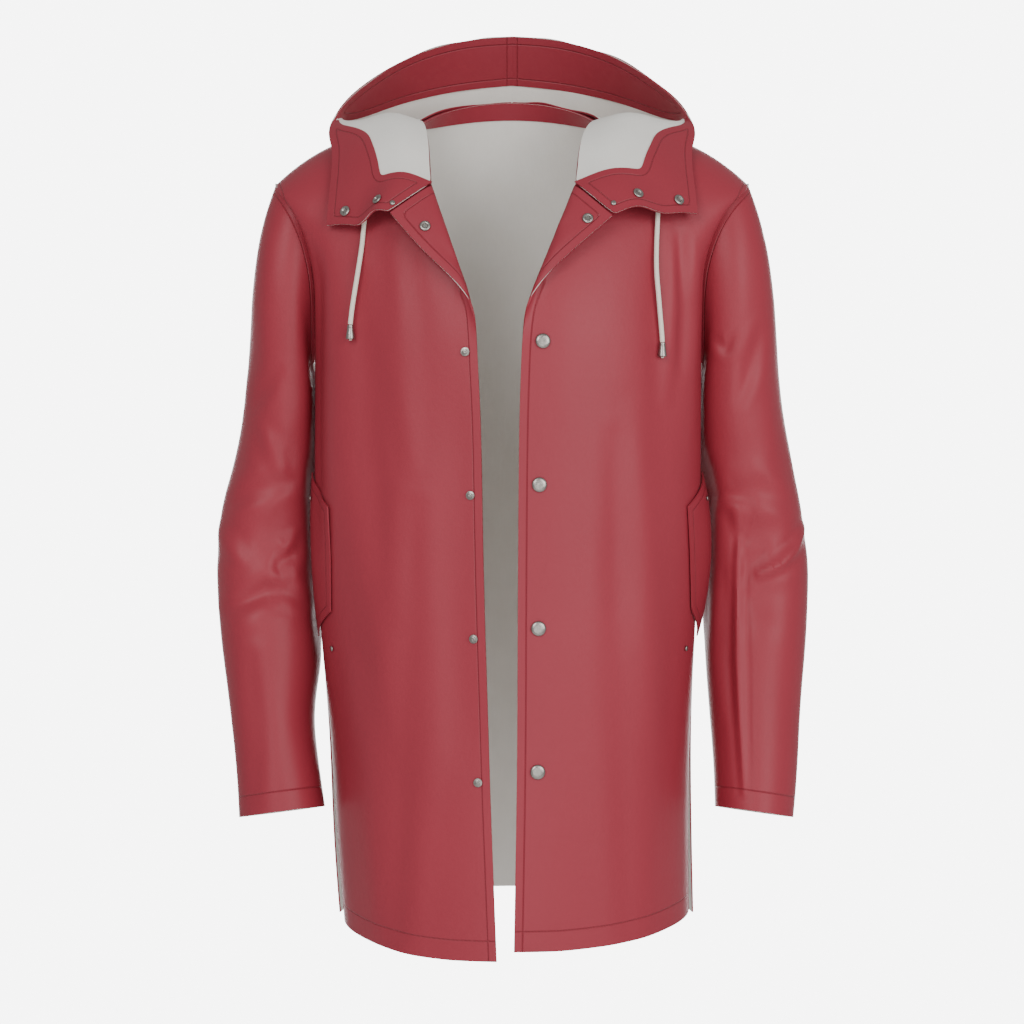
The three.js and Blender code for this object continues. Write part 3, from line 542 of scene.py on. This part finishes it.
def seatOf(node, kind):  # foot, axis, radius and height of a turned solid
    points = pointsOf(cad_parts[node])
    centre = points.mean(0)
    axes = np.linalg.eigh(np.cov((points - centre).T))[1]
    axis = axes[:, 2] if kind == "cord_end" else axes[:, 0]
    outward = np.array((0, 0, 1.0)) if kind == "cord_end" else np.array((centre[0] * 0.6, centre[1], 0.03))
    if axis @ outward < 0:
        axis = -axis
    along = (points - centre) @ axis
    away = np.linalg.norm((points - centre) - along[:, None] * axis, axis=1)
    return centre + axis * along.min(), axis, away.max(), along.max() - along.min()


def seat(piece, foot, axis):
    turn = Vector((0, 0, 1)).rotation_difference(Vector(axis)).to_matrix().to_4x4()
    piece.data.transform(Matrix.Translation(Vector(foot)) @ turn)


models = {}
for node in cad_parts:
    kinds = [kind for start, kind in trimKinds.items() if node.startswith(start)]
    if not kinds:
        continue
    kind = kinds[0]
    foot, axis, radius, height = seatOf(node, kind)
    if kind not in models:
        models[kind] = turnedPiece(kind + "_model", trimOutlines[kind], kind != "eyelet")
        models[kind].hide_render = True
    piece = models[kind].copy()
    piece.data = models[kind].data.copy()
    piece.name = node + "_metal"
    piece.hide_render = False
    bpy.context.scene.collection.objects.link(piece)
    piece.data.transform(Matrix.Diagonal((radius, radius, height, 1)))
    seat(piece, foot, axis)
    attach(piece, "root")
    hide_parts(node)
    trimPieces[node] = piece
for model in models.values():
    bpy.data.objects.remove(model)
print("metal seated")

for name in ("right", "left"):
    braid, tuft, path, length = cordPieces[name]
    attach(braid, "root")
    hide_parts("drawstring_" + name)
    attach(tuft, "root")
    trimPieces["cord_end_" + name]
print("cords tied")

# Cloth: a copy of each solid, made smooth, with its folds pressed in

clothThick = 1.6 * mm
facingThick = 0.9 * mm
rimSlack = 0.06 * mm  # how near to the thickness an edge across the wall has to be
squarish = {"face": math.radians(80), "shape": math.radians(120)}


def looseCopy(nodeName):
    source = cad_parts[nodeName]
    piece = source.copy()
    piece.data = source.data.copy()
    piece.name = nodeName + "_cloth"
    piece.parent = None
    for key in list(piece.keys()):
        del piece[key]
    bpy.context.scene.collection.objects.link(piece)
    editing(piece, "VERT")
    bpy.ops.mesh.customdata_custom_splitnormals_clear()
    bpy.ops.mesh.select_all(action="SELECT")
    bpy.ops.mesh.remove_doubles(threshold=welds["cloth"])
    bpy.ops.mesh.tris_convert_to_quads(face_threshold=squarish["face"], shape_threshold=squarish["shape"])
    done()
    return piece


def edgeUsers(mesh):  # how many faces share each edge
    users = {}
    for face in mesh.polygons:
        for key in face.edge_keys:
            users[key] = users.get(key, 0) + 1
    return users


# Keeps the outside of a wall alone: the side whose faces look most along outwards.
# Faces across the cut edge are known by an edge as long as the wall is thick.
def outerSide(piece, outwards, thick):
    mesh = piece.data
    points = pointsOf(piece)
    users = {}
    rim = set()
    for face in mesh.polygons:
        for key in face.edge_keys:
            users.setdefault(key, []).append(face.index)
        if min(abs(np.linalg.norm(points[a] - points[b]) - thick) for a, b in face.edge_keys) < rimSlack:
            rim.add(face.index)
    side = {}
    scores = []
    for start in range(len(mesh.polygons)):
        if start in side or start in rim:
            continue
        score = 0.0
        todo = [start]
        side[start] = len(scores)
        while todo:
            face = mesh.polygons[todo.pop()]
            score += face.area * outwards(face.center, face.normal)
            for key in face.edge_keys:
                for other in users[key]:
                    if other not in side and other not in rim:
                        side[other] = len(scores)
                        todo.append(other)
        scores.append(score)
    outside = scores.index(max(scores))
    editing(piece)
    bpy.ops.mesh.select_all(action="DESELECT")
    done()
    for face in mesh.polygons:
        face.select = side.get(face.index, -1) != outside
    bpy.ops.object.mode_set(mode="EDIT")
    bpy.ops.mesh.delete(type="FACE")
    bpy.ops.mesh.select_all(action="SELECT")
    bpy.ops.mesh.normals_make_consistent(inside=False)
    done()


def smoothed(piece, levels):
    pickOnly(piece)
    smoother = piece.modifiers.new("smooth", "SUBSURF")
    smoother.boundary_smooth = "PRESERVE_CORNERS"
    smoother.levels = levels
    bpy.ops.object.modifier_apply(modifier=smoother.name)


# Gives a smooth side its thickness inwards again, with a cloth for each side and for the cut edge.
def thickened(piece, thick, cloths, outwards):
    mesh = piece.data
    if sum(face.area * outwards(face.center, face.normal) for face in mesh.polygons) < 0:
        editing(piece)
        bpy.ops.mesh.select_all(action="SELECT")
        bpy.ops.mesh.flip_normals()
        done()
    mesh.materials.clear()
    for cloth in cloths:
        mesh.materials.append(paints[cloth])
    mesh.polygons.foreach_set("material_index", [0] * len(mesh.polygons))
    pickOnly(piece)
    wall = piece.modifiers.new("wall", "SOLIDIFY")
    wall.thickness = thick
    wall.offset = -1
    wall.material_offset = 1
    wall.material_offset_rim = 2
    bpy.ops.object.modifier_apply(modifier=wall.name)
    bpy.ops.object.shade_smooth_by_angle(angle=creases["cloth"])


# How far each point of a cloth lies from those stretches of its edge that a test picks.
def edgeDistance(piece, name, test):
    mesh = piece.data
    points = pointsOf(piece)
    found = []
    for (a, b), count in edgeUsers(mesh).items():
        run = points[b] - points[a]
        steep = abs(run[2]) / (np.linalg.norm(run) + 1e-9)
        if count == 1 and test(Vector((points[a] + points[b]) / 2), steep):
            found += [points[a], points[b]]
    away = np.full(len(points), 1.0)
    if found:
        tree = KDTree(len(found))
        for k, point in enumerate(found):
            tree.insert(point, k)
        tree.balance()
        away = np.array([min(1.0, tree.find(point)[2]) for point in points])
    layer = mesh.attributes.new(name, "FLOAT", "POINT")
    layer.data.foreach_set("value", away)


def stitched(piece, hem, edge, seam):  # the paint draws its stitch lines from these
    edgeDistance(piece, "hemAway", hem)
    edgeDistance(piece, "edgeAway", edge)
    edgeDistance(piece, "seamAway", seam)


def nowhere(c, steep):
    return False


def distanceToLine(flat, line):
    best = np.full(len(flat), 1e9)
    share = np.zeros(len(flat))
    lengths = [math.dist(a, b) for a, b in zip(line, line[1:])]
    total = sum(lengths)
    gone = 0.0
    for (a, b), length in zip(zip(line, line[1:]), lengths):
        start = np.array(a)
        run = np.array(b) - start
        t = np.clip(((flat - start) @ run) / (length * length), 0, 1)
        away = np.linalg.norm(flat - (start + t[:, None] * run), axis=1)
        nearer = away < best
        best[nearer] = away[nearer]
        share[nearer] = (gone + t[nearer] * length) / total
        gone += length
    return best, share


press = {"taper": 0.35, "rounded": 0.6, "lip": 0.35, "lipAt": 1.9, "lipWide": 0.9, "facing": (-0.15, 0.35)}


# Presses soft troughs and ridges into a cloth, each with a shallow lip beside it.
# Lines are (x, z) in millimetres, seen from the front or the back.
def pressFolds(piece, folds, middle, seenFrom):
    points = pointsOf(piece)
    outward = points - middle(points)
    outward[:, 2] = 0
    outward /= np.linalg.norm(outward, axis=1)[:, None] + 1e-9
    facing = outward[:, 1] * seenFrom
    flat = points[:, [0, 2]] / mm
    push = np.zeros(len(points))
    for fold in folds:
        away, share = distanceToLine(flat, fold["line"])
        wide = fold["wide"] * (1 - press["taper"] * np.abs(2 * share - 1))
        ends = np.sin(np.pi * np.clip(share * 0.9 + 0.05, 0, 1)) ** press["rounded"]
        trough = np.exp(-((away / wide) ** fold.get("crisp", 2)))
        lip = np.exp(-(((away - press["lipAt"] * wide) / (press["lipWide"] * wide)) ** 2))
        push += fold["deep"] * (trough - press["lip"] * lip) * ends
    push *= smoothstep(*press["facing"], facing)
    setPoints(piece, points + outward * (push * mm)[:, None])


def bodyMiddle(points):  # folds in the body press mostly from the front to the back
    middle = points.copy()
    middle[:, 0] *= 0.25
    middle[:, 1] = 0.0
    return middle


def armMiddle(sign):
    heights = [-0.74, -0.62, -0.51, -0.41, -0.30, -0.15, -0.05]
    across = [0.247, 0.256, 0.262, 0.262, 0.242, 0.215, 0.200]
    depth = [-0.036, -0.014, 0.008, 0.018, 0.018, 0.0, -0.01]

    def middle(points):
        found = points.copy()
        found[:, 0] = sign * np.interp(points[:, 2], heights, across)
        found[:, 1] = np.interp(points[:, 2], heights, depth)
        return found

    return middle


def awayFromBody(centre, normal):  # the body's axis lies 10 mm forward
    return normal.x * centre.x + normal.y * (centre.y + 0.01)


def awayFromArm(sign):
    middle = armMiddle(sign)

    def outwards(centre, normal):
        core = middle(np.array([centre]))[0]
        rise = max(0.0, centre.z + 0.12)  # near the shoulder, upwards counts too
        return normal.x * (centre.x - core[0]) + normal.y * (centre.y - core[1]) + normal.z * rise

    return outwards


def lookingDown(centre, normal):
    return -normal.z


def asCloth(piece, nodeName, flat, restsOn=()):
    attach(piece, "root")
    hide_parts(nodeName)


body = {
    "levels": 3,
    "back": {"flat": (0.56, 0.93), "area": 0.47},
    "front": {"flat": (0.32, 0.86), "area": 0.235},
    "hemBelow": -0.80,  # these tell the hem, the front edge, the vent and the armhole apart
    "frontBelow": -0.06,
    "ventBelow": -0.56,
    "armholeAbove": -0.25,
    "sideFrom": 0.13,
    "steep": 0.6,
}

frontFolds = {
    "right": [
        {"line": [(-158, -165), (-150, -260), (-140, -380), (-128, -520)], "wide": 16, "deep": -2.2},
        {"line": [(-120, -130), (-112, -240), (-100, -360)], "wide": 14, "deep": 1.8},
        {"line": [(-104, -400), (-106, -520), (-112, -660), (-118, -840)], "wide": 17, "deep": -2.6},
        {"line": [(-168, -560), (-150, -680), (-140, -840)], "wide": 16, "deep": 2.0},
    ],
    "left": [
        {"line": [(176, -120), (180, -190), (176, -260)], "wide": 9, "deep": -3.4},
        {"line": [(160, -110), (163, -190), (158, -290)], "wide": 10, "deep": 2.2},
        {"line": [(104, -330), (108, -500), (116, -700), (120, -840)], "wide": 18, "deep": -2.4},
        {"line": [(128, -300), (140, -450), (146, -640)], "wide": 16, "deep": 1.8},
    ],
}

backFoldLines = [
    {"line": [(-120, -90), (-128, -240), (-110, -420)], "wide": 16, "deep": -2.4},
    {"line": [(118, -100), (130, -260), (116, -460)], "wide": 15, "deep": -2.2},
    {"line": [(-40, -330), (-52, -560), (-60, -820)], "wide": 22, "deep": -2.4},
    {"line": [(60, -420), (52, -620), (64, -830)], "wide": 20, "deep": 2.2},
    {"line": [(-160, -480), (-150, -660), (-140, -830)], "wide": 17, "deep": 2.0},
]


def atHem(c, steep):
    return c.z < body["hemBelow"] and steep < body["steep"]


def atFrontEdge(c, steep):
    return abs(c.x) < body["sideFrom"] and c.z < body["frontBelow"] and steep > body["steep"]


def atVent(c, steep):
    return c.z < body["ventBelow"] and steep > body["steep"]


def atArmhole(c, steep):
    return abs(c.x) > body["sideFrom"] and c.z > body["armholeAbove"]


def makeFront(name):
    node = "front_" + name
    piece = looseCopy(node)
    outerSide(piece, awayFromBody, clothThick)
    smoothed(piece, body["levels"])
    pressFolds(piece, frontFolds[name], bodyMiddle, -1)
    stitched(piece, atHem, atFrontEdge, atArmhole)
    thickened(piece, clothThick, ("coated", "cotton", "coated"), awayFromBody)
    asCloth(piece, node, body["front"]["flat"], restsOn=["back_cloth"])


def makeBack():
    piece = looseCopy("back")
    outerSide(piece, awayFromBody, clothThick)
    smoothed(piece, body["levels"])
    pressFolds(piece, backFoldLines, bodyMiddle, 1)
    stitched(piece, atHem, atVent, atArmhole)
    thickened(piece, clothThick, ("coated", "cotton", "coated"), awayFromBody)
    asCloth(piece, "back", body["back"]["flat"])


makeBack()
for name in ("right", "left"):
    makeFront(name)
print("body cut")

sleeve = {
    "levels": 3,
    "flat": (0.42, 0.70),
    "area": 0.235,
    "hemBelow": -0.70,
    "armholeFloor": -0.35,
    "allowance": 8 * mm,
    "allowanceScale": (1, 0.95, 0.965),
    "backRise": 14,  # the folds go round to the back of the arm, higher and softer
    "backShare": 0.75,
}

sleeveFolds = {
    "right": [
        {"line": [(-246, -262), (-262, -280), (-274, -300)], "wide": 10, "deep": -2.6},
        {"line": [(-262, -320), (-250, -345), (-240, -370)], "wide": 9, "deep": 2.4},
        {"line": [(-300, -402), (-278, -388), (-256, -380), (-230, -374)], "wide": 11, "deep": -3.4},
        {"line": [(-314, -424), (-304, -440), (-286, -458)], "wide": 10, "deep": 2.8},
        {"line": [(-250, -466), (-240, -460), (-228, -452)], "wide": 9, "deep": -3.2, "crisp": 1.4},
        {"line": [(-249, -464), (-242, -474), (-232, -484)], "wide": 7, "deep": -3.0, "crisp": 1.3},
        {"line": [(-246, -436), (-240, -444), (-230, -430)], "wide": 7, "deep": 2.6},
        {
            "line": [(-300, -508), (-279, -500), (-258, -489), (-239, -491), (-222, -503)],
            "wide": 9,
            "deep": -3.8,
        },
        {"line": [(-292, -528), (-262, -516), (-236, -522)], "wide": 11, "deep": 2.0},
        {"line": [(-256, -120), (-262, -190), (-258, -250)], "wide": 13, "deep": 1.8},
        {"line": [(-276, -560), (-268, -640), (-270, -710)], "wide": 12, "deep": -1.8},
    ],
    "left": [
        {"line": [(212, -226), (224, -234), (232, -222)], "wide": 6, "deep": -3.0, "crisp": 1.5},
        {"line": [(262, -214), (252, -250), (240, -290)], "wide": 9, "deep": -2.6},
        {"line": [(212, -392), (236, -386), (262, -386), (290, -398)], "wide": 13, "deep": -3.6},
        {"line": [(222, -396), (238, -404), (240, -428)], "wide": 7, "deep": 2.4},
        {"line": [(312, -424), (300, -446), (284, -462), (262, -474)], "wide": 6, "deep": 4.6, "crisp": 1.5},
        {"line": [(268, -448), (252, -462), (246, -478)], "wide": 9, "deep": -3.4},
        {
            "line": [(240, -436), (239, -500), (238, -560), (240, -620), (243, -700)],
            "wide": 5,
            "deep": 4.2,
            "crisp": 1.5,
        },
        {"line": [(224, -470), (226, -540), (230, -620)], "wide": 8, "deep": -2.4},
        {"line": [(264, -130), (272, -190), (270, -260), (276, -340)], "wide": 13, "deep": 1.8},
    ],
}


# Turns the upper edge of a sleeve in under the body, as its seam allowance.
def turnedIn(piece, sign):
    mesh = piece.data
    users = edgeUsers(mesh)
    editing(piece, "EDGE")
    bpy.ops.mesh.select_all(action="DESELECT")
    done()
    ring = set()
    for edge in mesh.edges:
        a, b = edge.vertices
        edge.select = users[edge.key] == 1 and mesh.vertices[a].co.z > sleeve["armholeFloor"]
        if edge.select:
            ring.update((a, b))
    centre = sum((mesh.vertices[k].co for k in ring), Vector()) / len(ring)
    bpy.ops.object.mode_set(mode="EDIT")
    bpy.ops.mesh.extrude_edges_move()
    bpy.ops.transform.resize(value=sleeve["allowanceScale"], center_override=centre)
    bpy.ops.mesh.extrude_edges_move(TRANSFORM_OT_translate={"value": (-sign * sleeve["allowance"], 0, 0)})
    done()


def atCuff(c, steep):
    return c.z < sleeve["hemBelow"]


def atSleeveHead(c, steep):
    return c.z > sleeve["armholeFloor"]


def makeSleeve(name, sign):
    node = "sleeve_" + name
    piece = looseCopy(node)
    middle = armMiddle(sign)
    outerSide(piece, awayFromArm(sign), clothThick)
    smoothed(piece, sleeve["levels"])
    pressFolds(piece, sleeveFolds[name], middle, -1)
    behind = []
    for fold in sleeveFolds[name]:
        line = [(x, z + sleeve["backRise"]) for x, z in fold["line"]]
        behind.append(dict(fold, line=line, deep=fold["deep"] * sleeve["backShare"]))
    pressFolds(piece, behind, middle, 1)
    stitched(piece, atCuff, nowhere, atSleeveHead)
    turnedIn(piece, sign)
    thickened(piece, clothThick, ("coated", "cotton", "coated"), awayFromArm(sign))
    asCloth(piece, node, sleeve["flat"], restsOn=["front_" + name + "_cloth"])


for name, sign in (("right", -1), ("left", 1)):
    makeSleeve(name, sign)
print("sleeves set")

hood = {
    "levels": 3,
    "flat": (0.36, 0.40),
    "area": 0.12,
    "slit": 0.7 * mm,
    "reach": 7 * mm,
    "closed": 0.05 * mm,
    "wave": 1.5 * mm,
    "seamWithin": 2 * mm,
    "edgeBeyond": 4 * mm,
}


def closeMiddle(piece):  # draws the two halves together along the seam in the middle
    points = pointsOf(piece)
    across = np.abs(points[:, 0])
    near = across < hood["reach"]
    share = (across - hood["slit"]) / (hood["reach"] - hood["slit"])
    drawn = share * (hood["reach"] - hood["closed"]) + hood["closed"]
    points[near, 0] = np.sign(points[near, 0]) * drawn[near]
    setPoints(piece, points)


def rumple(piece):  # soft waves where the hood folds behind the neck
    points = pointsOf(piece)
    x, y, z = points.T / mm
    inHood = smoothstep(-25, 25, z) * smoothstep(6, 40, np.abs(x))
    wide = np.sin(x / 19 + y / 31 + 0.6) * np.sin(y / 24 - x / 57 + 1.1)
    narrow = np.sin(x / 11 - y / 27 + z / 15)
    points[:, 2] += (wide + 0.6 * narrow) * inHood * hood["wave"]
    setPoints(piece, points)


def atMiddle(c, steep):
    return abs(c.x) < hood["seamWithin"]


def offMiddle(c, steep):
    return abs(c.x) > hood["edgeBeyond"]


def makeHood(name):
    node = "hood_" + name
    piece = looseCopy(node)
    outerSide(piece, lookingDown, clothThick)
    smoothed(piece, hood["levels"])
    closeMiddle(piece)
    rumple(piece)
    stitched(piece, nowhere, offMiddle, atMiddle)
    thickened(piece, clothThick, ("coated", "cotton", "coated"), lookingDown)
    restsOn = ["front_" + name + "_cloth", "back_cloth"]
    asCloth(piece, node, hood["flat"], restsOn=restsOn)


for name in ("right", "left"):
    makeHood(name)
print("hood hung")

facings = {
    "front_facing": {"levels": 2, "flat": (0.047, 0.83), "outwards": awayFromBody},
    "hood_facing": {"levels": 2, "flat": (0.065, 0.42), "outwards": lookingDown},
    "neck_tape": {"levels": 2, "flat": (0.014, 0.118), "outwards": awayFromBody},
    "pocket_flap": {"levels": 3, "flat": (0.067, 0.175), "outwards": awayFromBody},
}
backTape = (0.024, 0.21)  # the piece of tape behind the neck is wider and longer


def makeFacing(kind, tail):
    node = kind + "_" + tail
    cut = facings[kind]
    isFlap = kind == "pocket_flap"
    cloths = ("coated", "cotton", "coated") if isFlap else ("facing", "facing", "facing")
    thick = clothThick if isFlap else facingThick
    piece = looseCopy(node)
    outerSide(piece, cut["outwards"], thick)
    smoothed(piece, cut["levels"])
    stitched(piece, nowhere, nowhere if kind == "neck_tape" else offMiddle, atMiddle)
    if kind in ("front_facing", "pocket_flap"):
        pressFolds(piece, frontFolds[tail], bodyMiddle, -1)
    if kind == "hood_facing":
        closeMiddle(piece)
    thickened(piece, thick, cloths, cut["outwards"])
    asCloth(piece, node, backTape if tail == "back" else cut["flat"])


for kind in facings:
    for tail in ("right", "left") + (("back",) if kind == "neck_tape" else ()):
        makeFacing(kind, tail)
print("facings laid")

# Stage and light

stage = {
    "floor": -1.62,
    "size": 4.0,
    "cloudScale": 1.4,
    "pale": (0.93, 0.93, 0.93, 1),
    "shade": (0.90, 0.90, 0.90, 1),
    "rough": 0.9,
    "specular": 0.1,
}

bpy.ops.mesh.primitive_plane_add(size=stage["size"], location=(0, 0, stage["floor"]))
floor = bpy.context.object
floor.name = "floor"
floorPaint = Paint("paleFloor")
soft = floorPaint.noise(floorPaint.place(), stage["cloudScale"])
pale = floorPaint.blend(soft * 0.3, stage["pale"], stage["shade"])
floorLook = {"Roughness": stage["rough"], "Specular IOR Level": stage["specular"]}
floor.data.materials.append(floorPaint.finish({"Base Color": pale}, floorLook))

lights = {
    "key": {"place": (-1.3, -3.4, 1.3), "size": 1.6, "power": 56},
    "fill": {"place": (2.2, -3.0, 0.5), "size": 2.2, "power": 68},
    "low": {"place": (0.2, -3.4, -1.0), "size": 1.6, "power": 17},
}

litPlace = Vector((0, 0, -0.38))

for name, lamp in lights.items():
    bpy.ops.object.light_add(type="AREA", location=lamp["place"])
    light = bpy.context.object
    light.name = name + "Light"
    light.data.size = lamp["size"]
    light.data.energy = lamp["power"]
    aim = litPlace - Vector(lamp["place"])
    light.rotation_euler = aim.to_track_quat("-Z", "Y").to_euler()

# A bright wall behind, under an even dome
studio = {"dome": 0.46, "wall": 7.0, "inner": 0.955, "outer": 0.90}

world = bpy.data.worlds.new("studio")
world.use_nodes = True
sky = world.node_tree
direction = sky.nodes.new("ShaderNodeTexCoord").outputs["Generated"]
parts = sky.nodes.new("ShaderNodeSeparateXYZ")
sky.links.new(direction, parts.inputs[0])
behind = Value(parts.outputs["Y"], sky)
share = ((behind - studio["outer"]) / (studio["inner"] - studio["outer"])).most(0.0).least(1.0)
tone = share * (studio["wall"] - studio["dome"]) + studio["dome"]
sky.links.new(tone.socket, sky.nodes["Background"].inputs["Color"])
bpy.context.scene.world = world
print("studio lit")
